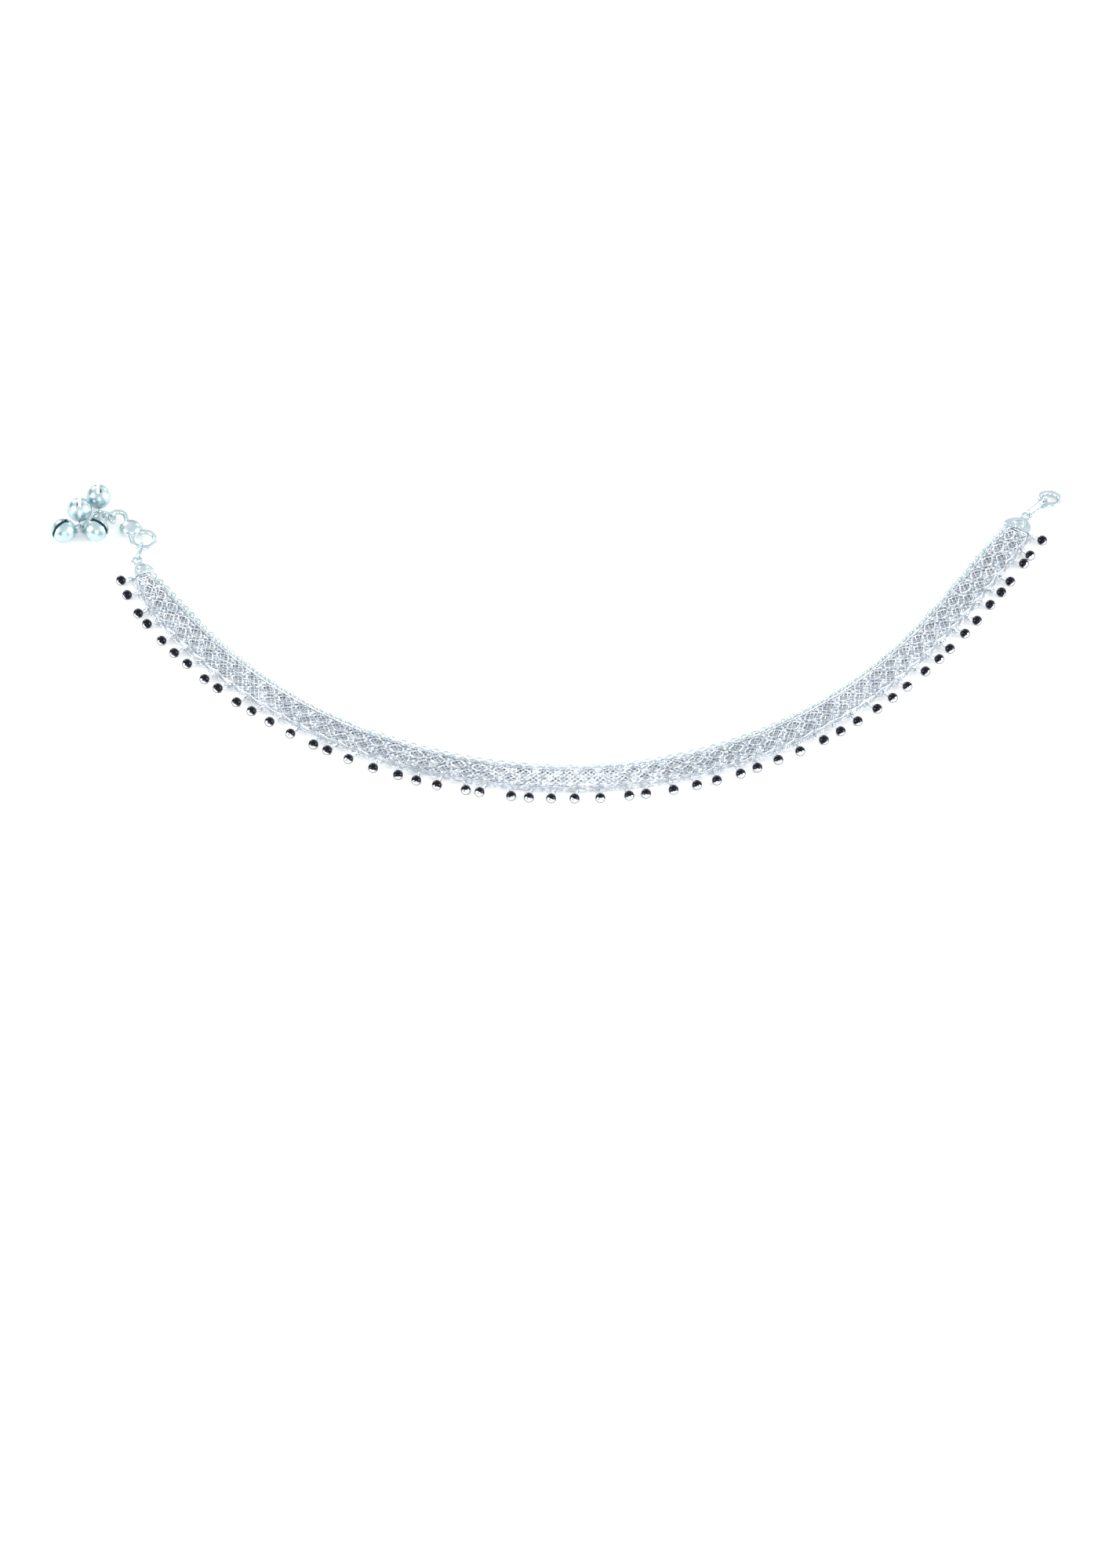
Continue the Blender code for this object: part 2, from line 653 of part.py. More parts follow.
def main():
    clear_scene()
    bright = metal("bright_silver", BRIGHT_SILVER, BRIGHT_ROUGHNESS)
    lattice = metal("lattice_silver", LATTICE_SILVER, LATTICE_ROUGHNESS)
    fringe = metal("blackened_silver", BLACKENED_SILVER, BLACKENED_ROUGHNESS)
    pieces = [woven_band(lattice), inner_edge_chain(bright), bead_fringe(fringe)]
    pieces += left_end(bright)
    pieces += right_end(bright)
    centre_on_floor(pieces)


main()
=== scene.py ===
"""Silver payal anklet, laid open on a white table, with its bead fringe, hook, bells and closing ring."""
import math
import random

import bmesh
import bpy
import numpy as np
from mathutils import Matrix, Vector


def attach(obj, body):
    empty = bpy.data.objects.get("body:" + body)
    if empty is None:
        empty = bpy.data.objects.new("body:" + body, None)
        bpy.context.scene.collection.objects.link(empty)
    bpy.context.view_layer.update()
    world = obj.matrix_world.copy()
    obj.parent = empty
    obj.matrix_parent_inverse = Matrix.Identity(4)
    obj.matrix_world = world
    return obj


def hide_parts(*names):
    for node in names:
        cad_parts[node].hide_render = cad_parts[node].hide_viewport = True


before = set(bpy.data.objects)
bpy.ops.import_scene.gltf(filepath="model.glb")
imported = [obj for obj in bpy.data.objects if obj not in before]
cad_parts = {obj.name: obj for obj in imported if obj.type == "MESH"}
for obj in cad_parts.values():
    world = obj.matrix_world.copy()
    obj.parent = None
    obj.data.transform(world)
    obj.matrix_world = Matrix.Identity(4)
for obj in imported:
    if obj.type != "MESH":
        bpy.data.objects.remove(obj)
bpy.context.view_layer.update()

# Woven band.
# The band is silver wire worked into a flat lattice with two rows of openings and a scalloped edge.
# A heavier wire is soldered round each opening, a fine woven net runs over both faces, and small
# grains of silver are set where the wires meet.
band_length = 0.2383
band_thickness = 0.0013
band_inner = 0.0026
band_outer = 0.0033
band_scallop = 0.00045
bead_count = 53
pitch = band_length / (bead_count - 1)
end_taper = {"hook": 0.0014, "ring": 0.0004, "length": 0.014}
band_start = Vector((-0.0862566, 0.0208394, 0.0))
laid_headings = (-65.0, -33.0, 4.5, 43.5, 59.0)
route_steps = 2000
upper_opening = {"across": -0.0009, "width": 0.0027, "height": 0.0020, "side": 0.00066}
lower_opening = {"across": 0.0013, "width": 0.0030, "height": 0.0022}
lattice_wire = 0.00018
rim_corner = 0.0005
ground = {"low": 0.00022, "high": 0.00092, "inset": lattice_wire * 0.7}
net = {"spaces": 4, "wire": 0.00011, "sides": 5, "across": -0.0024, "crossings": 9}
grain_rows = (
    {"at": "bead line", "across": -0.00175, "radius": 0.00036},
    {"at": "bead line", "across": -0.00070, "radius": 0.00030},
    {"at": "between", "across": 0.00110, "radius": 0.00030},
    {"at": "between", "across": 0.00205, "radius": 0.00036},
)


def laid_route():
    """Places and headings at even steps along the laid band's centre line."""
    shares = np.linspace(0.0, 1.0, len(laid_headings))
    bend = np.polyfit(shares, np.radians(laid_headings), len(laid_headings) - 1)
    at = np.linspace(0.0, 1.0, route_steps + 1)
    heading = np.polyval(bend, at)
    middle = (heading[1:] + heading[:-1]) / 2
    x = np.concatenate(([0.0], np.cumsum(np.cos(middle)) * band_length / route_steps))
    y = np.concatenate(([0.0], np.cumsum(np.sin(middle)) * band_length / route_steps))
    return at * band_length, x + band_start.x, y + band_start.y, heading


route = laid_route()


def heading_at(along):
    """Direction in which the band runs at a distance from its hook end."""
    return float(np.interp(along, route[0], route[3]))


def narrowed(along, across):
    """Distance from the centre line after the taper at both ends."""
    from_end = max(0.0, min(along, band_length - along))
    deepest = end_taper["hook"] if along < band_length / 2 else end_taper["ring"]
    taper = deepest * max(0.0, 1.0 - from_end / end_taper["length"]) ** 2
    return across - taper * max(-1.0, min(1.0, across / band_inner))


def on_band(along, across, height=0.0):
    """Point beside the centre line, with the bead side counted as positive."""
    inside = max(0.0, min(band_length, along))
    beyond = along - inside
    turn = heading_at(inside)
    side = narrowed(inside, across)
    x = float(np.interp(inside, route[0], route[1])) + beyond * math.cos(turn) + side * math.sin(turn)
    y = float(np.interp(inside, route[0], route[2])) + beyond * math.sin(turn) - side * math.cos(turn)
    return Vector((x, y, height))


def new_object(name, data):
    """Object of some data, put into the scene."""
    made = bpy.data.objects.new(name, data)
    bpy.context.scene.collection.objects.link(made)
    return made


def lattice_sheet(inset):
    """Flat pierced sheet of the band, drawn in from all its edges by the inset."""
    bm = bmesh.new()
    outer = bm.verts.layers.float.new("outer_edge")
    corners = {}

    def corner(along, across, at_edge=0.0):
        key = (round(along, 9), round(across, 9))
        if key not in corners:
            corners[key] = bm.verts.new(on_band(along, across))
            corners[key][outer] = at_edge
        return corners[key]

    upper, upper_half = upper_opening["across"], upper_opening["height"] / 2 + inset
    upper_side, upper_wide = upper_opening["side"] / 2, upper_opening["width"] / 2 + inset
    lower, lower_half = lower_opening["across"], lower_opening["height"] / 2 + inset
    lower_wide = lower_opening["width"] / 2 + inset
    top = -band_inner + inset
    peak_at, notch_at = band_outer - inset, band_outer - band_scallop - inset
    for i in range(bead_count - 1):
        middle = (i + 0.5) * pitch
        for side in (-1, 1):
            line = middle + side * pitch / 2
            edge = line
            if i == 0 and side < 0:
                edge = line + inset
            if i == bead_count - 2 and side > 0:
                edge = line - inset
            inner_corner, inner_middle = corner(edge, top, 1.0), corner(middle, top, 1.0)
            upper_top = corner(middle, upper - upper_half)
            upper_high = corner(middle + side * upper_wide, upper - upper_side)
            upper_low = corner(middle + side * upper_wide, upper + upper_side)
            upper_foot = corner(middle, upper + upper_half)
            peak, notch = corner(middle, peak_at, 1.0), corner(edge, notch_at, 1.0)
            faces = [(inner_corner, inner_middle, upper_top, upper_high)]
            if edge != line:
                faces.append((inner_corner, upper_high, upper_low, upper_foot, peak, notch))
            else:
                lower_side = corner(line - side * lower_wide, lower)
                lower_top, lower_foot = corner(line, lower - lower_half), corner(line, lower + lower_half)
                faces.append((inner_corner, upper_high, upper_low, lower_side, lower_top))
                faces.append((upper_low, upper_foot, peak, lower_side))
                faces.append((lower_side, peak, notch, lower_foot))
            for face in faces:
                bm.faces.new(face if side > 0 else face[::-1])
    bmesh.ops.recalc_face_normals(bm, faces=bm.faces)
    if sum(face.normal.z for face in bm.faces) < 0:
        bmesh.ops.reverse_faces(bm, faces=bm.faces)
    sheet = new_object("sheet", bpy.data.meshes.new("sheet"))
    bm.to_mesh(sheet.data)
    bm.free()
    return sheet


def feed(node, inputs):
    """Gives a node's inputs plain values, sockets, or the first output of other nodes."""
    for name, value in inputs.items():
        for one in value if isinstance(value, list) else [value]:
            source = one.outputs[0] if isinstance(one, bpy.types.Node) else one
            if isinstance(source, bpy.types.NodeSocket):
                node.id_data.links.new(source, node.inputs[name])
            else:
                node.inputs[name].default_value = source


def add_node(tree, kind, inputs=None, **settings):
    """New node with its settings and inputs."""
    node = tree.nodes.new(kind)
    for name, value in settings.items():
        setattr(node, name, value)
    feed(node, inputs or {})
    return node


def maths(tree, operation, *values, kind="ShaderNodeMath"):
    """Node that works out one result from its values, in their order."""
    return add_node(tree, kind, dict(enumerate(values)), operation=operation)


def logic(tree, operation, *values):
    """Node that works out yes or no from its values."""
    return maths(tree, operation, *values, kind="FunctionNodeBooleanMath")


def new_tree(name, sizes=(), others=()):
    """Tree of steps on a shape, with sizes and other inputs; gives the tree and its inputs."""
    tree = bpy.data.node_groups.new(name, "GeometryNodeTree")
    floats = dict.fromkeys(sizes, "Float")
    inputs = {"Geometry": "Geometry", **floats, **dict(others), "Material": "Material"}
    for label, kind in inputs.items():
        tree.interface.new_socket(name=label, in_out="INPUT", socket_type="NodeSocket" + kind)
    tree.interface.new_socket(name="Geometry", in_out="OUTPUT", socket_type="NodeSocketGeometry")
    return tree, tree.nodes.new("NodeGroupInput").outputs


def finish_tree(tree, given, made, smooth=True):
    """Ends a tree in realized geometry with its material."""
    real = add_node(tree, "GeometryNodeRealizeInstances", {"Geometry": made})
    shaded = add_node(tree, "GeometryNodeSetShadeSmooth", {"Geometry": real, "Shade Smooth": smooth})
    painted = add_node(tree, "GeometryNodeSetMaterial", {"Geometry": shaded, "Material": given["Material"]})
    add_node(tree, "NodeGroupOutput", {"Geometry": painted})
    return painted


def grown(name, source, tree, sizes, material):
    """Runs a tree on a source object and keeps the result as one plain mesh."""
    step = source.modifiers.new("Grow", "NODES")
    step.node_group = tree
    values = dict(sizes, Material=material)
    for item in tree.interface.items_tree:
        if item.item_type == "SOCKET" and item.in_out == "INPUT" and item.name in values:
            step[item.identifier] = values[item.name]
    seen = source.evaluated_get(bpy.context.evaluated_depsgraph_get())
    mesh = bpy.data.meshes.new_from_object(seen)
    mesh.name = name
    source.modifiers.remove(step)
    bpy.data.objects.remove(source)
    return new_object(name, mesh)


def joined(name, *pieces):
    """Several meshes as one object."""
    with bpy.context.temp_override(active_object=pieces[0], selected_editable_objects=list(pieces)):
        bpy.ops.object.join()
    pieces[0].name = name
    pieces[0].data.name = name
    return pieces[0]


def silver_skin_group():
    """Polished silver that has been handled: patches of tone, fine scuffs and a soft unevenness."""
    tree = bpy.data.node_groups.new("silver_skin", "ShaderNodeTree")
    for name in ("Bright", "Shaded"):
        tree.interface.new_socket(name=name, in_out="INPUT", socket_type="NodeSocketColor")
    for name in ("Patch scale", "Scuff scale", "Smoothest", "Roughest"):
        tree.interface.new_socket(name=name, in_out="INPUT", socket_type="NodeSocketFloat")
    for name, kind in {"Color": "Color", "Roughness": "Float", "Height": "Float"}.items():
        tree.interface.new_socket(name=name, in_out="OUTPUT", socket_type="NodeSocket" + kind)
    given = tree.nodes.new("NodeGroupInput").outputs
    place = add_node(tree, "ShaderNodeTexCoord").outputs["Object"]
    patches = add_node(
        tree,
        "ShaderNodeTexNoise",
        {"Vector": place, "Scale": given["Patch scale"], "Detail": 3.0, "Roughness": 0.6},
    )
    scuffs = add_node(
        tree,
        "ShaderNodeTexNoise",
        {"Vector": place, "Scale": given["Scuff scale"], "Detail": 4.0, "Roughness": 0.7},
    )
    spread = add_node(
        tree, "ShaderNodeMapRange", {"Value": patches.outputs["Fac"], "From Min": 0.35, "From Max": 0.65}
    )
    tone = add_node(
        tree, "ShaderNodeMix", {0: spread, 6: given["Shaded"], 7: given["Bright"]}, data_type="RGBA"
    )
    rough = add_node(
        tree,
        "ShaderNodeMapRange",
        {
            "Value": scuffs.outputs["Fac"],
            "From Min": 0.35,
            "From Max": 0.7,
            "To Min": given["Smoothest"],
            "To Max": given["Roughest"],
        },
    )
    ends = {"Color": tone.outputs[2], "Roughness": rough, "Height": scuffs.outputs["Fac"]}
    add_node(tree, "NodeGroupOutput", ends)
    return tree


silver_skin = silver_skin_group()


def silver(name, bright, shaded, patch, scuff, smoothest, roughest, bump):
    """Material of handled silver."""
    made = bpy.data.materials.new(name)
    made.use_nodes = True
    tree = made.node_tree
    looks = {
        "Bright": (*bright, 1.0),
        "Shaded": (*shaded, 1.0),
        "Patch scale": patch,
        "Scuff scale": scuff,
        "Smoothest": smoothest,
        "Roughest": roughest,
    }
    skin = add_node(tree, "ShaderNodeGroup", looks, node_tree=silver_skin).outputs
    relief = add_node(
        tree, "ShaderNodeBump", {"Height": skin["Height"], "Strength": bump, "Distance": 0.00003}
    )
    feed(
        tree.nodes["Principled BSDF"],
        {"Base Color": skin["Color"], "Roughness": skin["Roughness"], "Normal": relief, "Metallic": 1.0},
    )
    return made


def tinted(material, share, tone):
    """Lays a tone over the metal's own colour, as strongly as the share says."""
    surface = material.node_tree.nodes["Principled BSDF"]
    metal = surface.inputs["Base Color"].links[0].from_socket
    colour = add_node(
        material.node_tree, "ShaderNodeMix", {0: share, 6: metal, 7: (*tone, 1.0)}, data_type="RGBA"
    )
    feed(surface, {"Base Color": colour.outputs[2]})


def weave_bosses_and_gap_shade(material):
    """Adds the low bosses of the close wire work to the plain ground, with painted shade in the gaps between
    them.
    """
    tree = material.node_tree
    place = add_node(tree, "ShaderNodeTexCoord").outputs["Object"]
    cells = add_node(tree, "ShaderNodeTexVoronoi", {"Vector": place, "Scale": 900.0, "Randomness": 0.8})
    gaps = add_node(
        tree, "ShaderNodeMapRange", {"Value": cells.outputs["Distance"], "From Min": 0.34, "From Max": 0.64}
    )
    # Painted shade: the gaps between the bosses are darkened towards grey-blue.
    tinted(material, maths(tree, "MULTIPLY", gaps, 0.52), (0.34, 0.38, 0.44))
    surface = tree.nodes["Principled BSDF"]
    relief = surface.inputs["Normal"].links[0].from_socket
    bosses = add_node(
        tree,
        "ShaderNodeBump",
        {"Height": gaps, "Normal": relief, "Strength": 0.4, "Distance": 0.00005},
        invert=True,
    )
    feed(surface, {"Normal": bosses})


lattice_silver = silver(
    "lattice_silver", (0.97, 0.99, 1.0), (0.82, 0.87, 0.93), 620.0, 2600.0, 0.22, 0.42, 0.25
)
# Painted shade: darker silver, also rougher, for the walls of the openings, so that the openings read as
# shaded.
opening_wall_shade_silver = silver(
    "opening_wall_shade_silver", (0.84, 0.88, 0.94), (0.50, 0.55, 0.62), 420.0, 2600.0, 0.30, 0.50, 0.25
)
weave_bosses_and_gap_shade(lattice_silver)


def lifted(tree, shape, height):
    """Moves a shape straight up."""
    up = add_node(tree, "ShaderNodeCombineXYZ", {"Z": height})
    return add_node(tree, "GeometryNodeTransform", {"Geometry": shape, "Translation": up})


def swept(tree, path, sides, radius, capped=False):
    """Round wire along a path."""
    profile = add_node(tree, "GeometryNodeCurvePrimitiveCircle", {"Resolution": sides, "Radius": radius})
    return add_node(
        tree, "GeometryNodeCurveToMesh", {"Curve": path, "Profile Curve": profile, "Fill Caps": capped}
    )


def ground_tree():
    """Pierced plate from a flat sheet, with painted shade on the walls of its openings in a darker material
    of their own.
    """
    tree, given = new_tree("ground", ("Low", "Thickness"), {"Wall material": "Material"})
    up = add_node(tree, "ShaderNodeCombineXYZ", {"Z": given["Thickness"]})
    walls = add_node(
        tree,
        "GeometryNodeExtrudeMesh",
        {"Mesh": given["Geometry"], "Offset": up, "Offset Scale": 1.0, "Individual": False},
        mode="FACES",
    )
    under = add_node(tree, "GeometryNodeFlipFaces", {"Mesh": given["Geometry"]})
    plate = add_node(tree, "GeometryNodeJoinGeometry", {"Geometry": [walls, under]})
    sealed = add_node(tree, "GeometryNodeMergeByDistance", {"Geometry": plate, "Distance": 0.000002})
    painted = finish_tree(tree, given, lifted(tree, sealed, given["Low"]), smooth=False)
    edge = add_node(tree, "GeometryNodeInputNamedAttribute", {"Name": "outer_edge"}, data_type="FLOAT")
    in_opening = logic(tree, "AND", walls.outputs["Side"], maths(tree, "LESS_THAN", edge, 0.5))
    # The inner walls of the openings take the darker material with the painted shade.
    wall_shade = add_node(
        tree,
        "GeometryNodeSetMaterial",
        {"Geometry": painted, "Selection": in_opening, "Material": given["Wall material"]},
    )
    feed(tree.nodes["Group Output"], {"Geometry": wall_shade})
    return tree


def rim_tree():
    """Wire along every open edge of a flat sheet, at two heights."""
    tree, given = new_tree("rims", ("Wire radius", "Corner radius", "Upper", "Lower"))
    neighbours = add_node(tree, "GeometryNodeInputMeshEdgeNeighbors")
    rim = add_node(tree, "FunctionNodeCompare", {2: neighbours, 3: 1}, data_type="INT", operation="EQUAL")
    outline = add_node(tree, "GeometryNodeMeshToCurve", {"Mesh": given["Geometry"], "Selection": rim})
    rounded = add_node(
        tree,
        "GeometryNodeFilletCurve",
        {"Curve": outline, "Count": 2, "Radius": given["Corner radius"], "Limit Radius": True},
        mode="POLY",
    )
    wires = swept(tree, rounded, 6, given["Wire radius"])
    layers = [lifted(tree, wires, given[height]) for height in ("Upper", "Lower")]
    both = add_node(tree, "GeometryNodeJoinGeometry", {"Geometry": layers})
    finish_tree(tree, given, both)
    return tree


def paths_object(paths, closed=False):
    """Curve object that runs straight from point to point along each path."""
    curve = bpy.data.curves.new("paths", "CURVE")
    curve.dimensions = "3D"
    for points in paths:
        line = curve.splines.new("POLY")
        line.points.add(len(points) - 1)
        for spot, point in zip(line.points, points):
            spot.co = (*point, 1.0)
        line.use_cyclic_u = closed
    return new_object("paths", curve)


def wire_tree():
    """Round wire along paths; open ends are cut flat or rounded off."""
    tree, given = new_tree("round_wire", ("Wire radius",), {"Sides": "Int", "Rounded ends": "Bool"})
    path, sides, radius = given["Geometry"], given["Sides"], given["Wire radius"]
    wire = swept(tree, path, sides, radius, logic(tree, "NOT", given["Rounded ends"]))
    ends = add_node(tree, "GeometryNodeCurveEndpointSelection", {"Start Size": 1, "End Size": 1})
    closed_line = add_node(tree, "GeometryNodeInputSplineCyclic")
    open_ends = logic(tree, "AND", ends, logic(tree, "NOT", closed_line))
    wanted = logic(tree, "AND", open_ends, given["Rounded ends"])
    tip = add_node(tree, "GeometryNodeMeshUVSphere", {"Segments": sides, "Rings": 4, "Radius": radius})
    tips = add_node(
        tree, "GeometryNodeInstanceOnPoints", {"Points": path, "Selection": wanted, "Instance": tip}
    )
    whole = add_node(tree, "GeometryNodeJoinGeometry", {"Geometry": [wire, tips]})
    finish_tree(tree, given, whole)
    return tree


round_wire = wire_tree()


def net_paths(middle):
    """Slanted wires of one face's net, both ways, woven over and under each other about a height."""
    step = pitch / net["spaces"]
    paths = []
    for side in (1, -1):
        for i in range(-net["crossings"], net["spaces"] * (bead_count - 1) + net["crossings"]):
            points = []
            for k in range(net["crossings"] + 1):
                along = (i + side * k / 2) * step
                wave = net["wire"] * side * (1 if k % 2 else -1)
                if net["wire"] < along < band_length - net["wire"]:
                    points.append(on_band(along, net["across"] + k * step / 2, middle + wave))
            if len(points) > 1:
                paths.append(points)
    return paths


def grain_tree():
    """Small round grains of solder-set silver on points, each of its own size."""
    tree, given = new_tree("grains")
    points = add_node(tree, "GeometryNodeMeshToPoints", {"Mesh": given["Geometry"]})
    size = add_node(tree, "GeometryNodeInputNamedAttribute", {"Name": "grain_radius"}, data_type="FLOAT")
    ball = add_node(tree, "GeometryNodeMeshUVSphere", {"Segments": 8, "Rings": 6, "Radius": 1.0})
    set_grains = add_node(
        tree, "GeometryNodeInstanceOnPoints", {"Points": points, "Instance": ball, "Scale": size}
    )
    finish_tree(tree, given, set_grains)
    return tree


def points_object(points, **values):
    """Loose points with one number or vector each for every named value."""
    mesh = bpy.data.meshes.new("points")
    mesh.from_pydata([tuple(p) for p in points], [], [])
    for name, numbers in values.items():
        if isinstance(numbers[0], (int, float)):
            mesh.attributes.new(name, "FLOAT", "POINT").data.foreach_set("value", list(numbers))
        else:
            flat = [part for vector in numbers for part in vector]
            mesh.attributes.new(name, "FLOAT_VECTOR", "POINT").data.foreach_set("vector", flat)
    return new_object("points", mesh)


def grains_on(points, sizes, material):
    """Grains of silver on points."""
    return grown("grains", points_object(points, grain_radius=sizes), grain_tree(), {}, material)


plate = grown(
    "ground",
    lattice_sheet(ground["inset"]),
    ground_tree(),
    {"Low": ground["low"], "Thickness": ground["high"] - ground["low"], "Wall material": opening_wall_shade_silver},
    lattice_silver,
)
rims = grown(
    "rims",
    lattice_sheet(lattice_wire),
    rim_tree(),
    {
        "Wire radius": lattice_wire,
        "Corner radius": rim_corner,
        "Upper": band_thickness - lattice_wire,
        "Lower": lattice_wire,
    },
    lattice_silver,
)
both_faces = net_paths(band_thickness - 2 * net["wire"]) + net_paths(2 * net["wire"])
net_sizes = {"Wire radius": net["wire"], "Sides": net["sides"]}
woven_net = grown("net", paths_object(both_faces), round_wire, net_sizes, lattice_silver)

grain_points, grain_sizes = [], []
for row in grain_rows:
    first, count = (pitch, bead_count - 2) if row["at"] == "bead line" else (pitch / 2, bead_count - 1)
    for i in range(count):
        for height in (band_thickness - row["radius"], row["radius"]):
            grain_points.append(on_band(first + i * pitch, row["across"], height))
            grain_sizes.append(row["radius"])
grains = grains_on(grain_points, grain_sizes, lattice_silver)
woven_band = joined("band_lattice", plate, rims, woven_net, grains)
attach(woven_band, "root")
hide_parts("woven_band")

# Inner edge chain.
# A fine cable chain of soldered oval links runs along the band's inner edge, each link turned a
# quarter against its neighbours. It is brightly polished.
seam_gap = 0.00012
chain_radius = 0.0007
chain_across = -(band_inner + seam_gap + chain_radius)
chain_height = 0.00072
chain_link = {"pitch": 0.00117, "length": 0.00196, "width": 0.00128, "wire": 0.00019}
path_steps = 240

chain_silver = silver(
    "chain_silver", (0.84, 0.92, 0.93), (0.64, 0.76, 0.78), 260.0, 3200.0, 0.16, 0.32, 0.15
)


def chain_tree():
    """Oval links along a path, each a quarter turn from the one before."""
    tree, given = new_tree("cable_chain", ("Pitch", "Link length", "Link width", "Wire radius"))
    spots = add_node(
        tree,
        "GeometryNodeCurveToPoints",
        {"Curve": given["Geometry"], "Length": given["Pitch"]},
        mode="LENGTH",
    )
    loop = add_node(tree, "GeometryNodeCurvePrimitiveCircle", {"Resolution": 12, "Radius": 0.5})
    long_way = maths(tree, "MULTIPLY_ADD", given["Wire radius"], -2.0, given["Link length"])
    wide_way = maths(tree, "MULTIPLY_ADD", given["Wire radius"], -2.0, given["Link width"])
    shape = add_node(tree, "ShaderNodeCombineXYZ", {"X": long_way, "Y": wide_way, "Z": 1.0})
    oval = add_node(tree, "GeometryNodeTransform", {"Geometry": loop, "Scale": shape})
    link = swept(tree, oval, 6, given["Wire radius"])
    ahead = add_node(
        tree, "FunctionNodeAlignRotationToVector", {"Vector": spots.outputs["Tangent"]}, axis="X"
    )
    number = add_node(tree, "GeometryNodeInputIndex")
    quarter = maths(tree, "MULTIPLY_ADD", number, math.pi / 2, math.pi / 4)
    roll = add_node(tree, "FunctionNodeAxisAngleToRotation", {"Axis": (1.0, 0.0, 0.0), "Angle": quarter})
    turned = add_node(
        tree, "FunctionNodeRotateRotation", {"Rotation": ahead, "Rotate By": roll}, rotation_space="LOCAL"
    )
    links = add_node(
        tree,
        "GeometryNodeInstanceOnPoints",
        {"Points": spots.outputs["Points"], "Instance": link, "Rotation": turned},
    )
    finish_tree(tree, given, links)
    return tree


def edge_path(across, height, past_end):
    """Path along the band, beside its centre line, that goes past both ends by a length."""
    whole = band_length + 2 * past_end
    return [on_band(-past_end + whole * i / path_steps, across, height) for i in range(path_steps + 1)]


edge_chain = grown(
    "edge_chain",
    paths_object([edge_path(chain_across, chain_height, -chain_link["length"] / 2)]),
    chain_tree(),
    {
        "Pitch": chain_link["pitch"],
        "Link length": chain_link["length"],
        "Link width": chain_link["width"],
        "Wire radius": chain_link["wire"],
    },
    chain_silver,
)
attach(edge_chain, "root")
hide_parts("inner_edge_chain")

# Bead fringe.
# A twisted pair of fine wires is soldered along the outer edge. Small wire bails on it carry round
# silver beads, polished outside and left black above, where they face the band.
edge_wire = 0.0003
fringe_across = band_outer + seam_gap + edge_wire
fringe_height = 0.0008
fringe_tail = 0.0005
strand_radius = 0.00016
twist_pitch = 0.0011
twist_step = 0.00022
bead_radius = 0.00108
bead_reach = 0.0026
bead_swing = 24.0
black_range = (-0.12, 0.28)
bail_reach = 0.0005
bail_wire = 0.00019
floor_gap = 0.00002

bead_silver = silver(
    "blackened_silver", (0.90, 0.92, 0.94), (0.80, 0.83, 0.86), 400.0, 3000.0, 0.07, 0.18, 0.1
)


def painted_rim_shade(material, tone, depth, full):
    """Paints shade into the colour where the polished metal turns away from sight, as a darker rim round its
    outline.
    """
    tree = material.node_tree
    grazing = add_node(tree, "ShaderNodeLayerWeight", {"Blend": 0.35})
    share = add_node(
        tree,
        "ShaderNodeMapRange",
        {"Value": grazing.outputs["Facing"], "From Min": 0.2, "From Max": full, "To Max": depth},
    )
    tinted(material, share, tone)


def blacken(material):
    """Adds the blackened side of each bead, which reaches more or less far down and stops unevenly."""
    tree = material.node_tree
    side = add_node(tree, "ShaderNodeAttribute", attribute_name="blackened")
    place = add_node(tree, "ShaderNodeTexCoord").outputs["Object"]
    ragged = add_node(tree, "ShaderNodeTexNoise", {"Vector": place, "Scale": 900.0, "Detail": 2.0})
    shifted = maths(tree, "MULTIPLY_ADD", ragged.outputs["Fac"], 0.35, side.outputs["Fac"])
    spread = add_node(tree, "ShaderNodeAttribute", attribute_name="black_spread")
    each = maths(tree, "ADD", shifted, spread.outputs["Fac"])
    mask = add_node(tree, "ShaderNodeMapRange", {"Value": each, "From Min": 0.92, "From Max": 1.06})
    tinted(material, mask, (0.020, 0.020, 0.026))


blacken(bead_silver)
# Painted shade: a near-black rim round each bead's outline, darker the more the surface turns from sight.
painted_rim_shade(bead_silver, (0.12, 0.12, 0.14), 0.95, 0.42)


def twist_tree():
    """Two strands wound round each other along a path."""
    tree, given = new_tree("twisted_pair", ("Strand radius", "Twist pitch", "Step"))
    radius = given["Strand radius"]
    even = add_node(
        tree,
        "GeometryNodeResampleCurve",
        {"Curve": given["Geometry"], "Length": given["Step"]},
        mode="LENGTH",
    )
    level = add_node(tree, "GeometryNodeSetCurveNormal", {"Curve": even}, mode="Z_UP")
    where = add_node(tree, "GeometryNodeSplineParameter")
    turns = maths(tree, "DIVIDE", where.outputs["Length"], given["Twist pitch"])
    sideways = add_node(tree, "GeometryNodeInputNormal")
    strands = []
    for phase in (0.0, math.pi):
        angle = maths(tree, "MULTIPLY_ADD", turns, math.tau, phase)
        out = maths(tree, "MULTIPLY", maths(tree, "COSINE", angle), radius)
        up = maths(tree, "MULTIPLY", maths(tree, "SINE", angle), radius)
        level_part = add_node(tree, "ShaderNodeVectorMath", {0: sideways, "Scale": out}, operation="SCALE")
        high_part = add_node(tree, "ShaderNodeCombineXYZ", {"Z": up})
        offset = maths(tree, "ADD", level_part, high_part, kind="ShaderNodeVectorMath")
        wound = add_node(tree, "GeometryNodeSetPosition", {"Geometry": level, "Offset": offset})
        strands.append(swept(tree, wound, 5, radius, capped=True))
    both = add_node(tree, "GeometryNodeJoinGeometry", {"Geometry": strands})
    finish_tree(tree, given, both)
    return tree


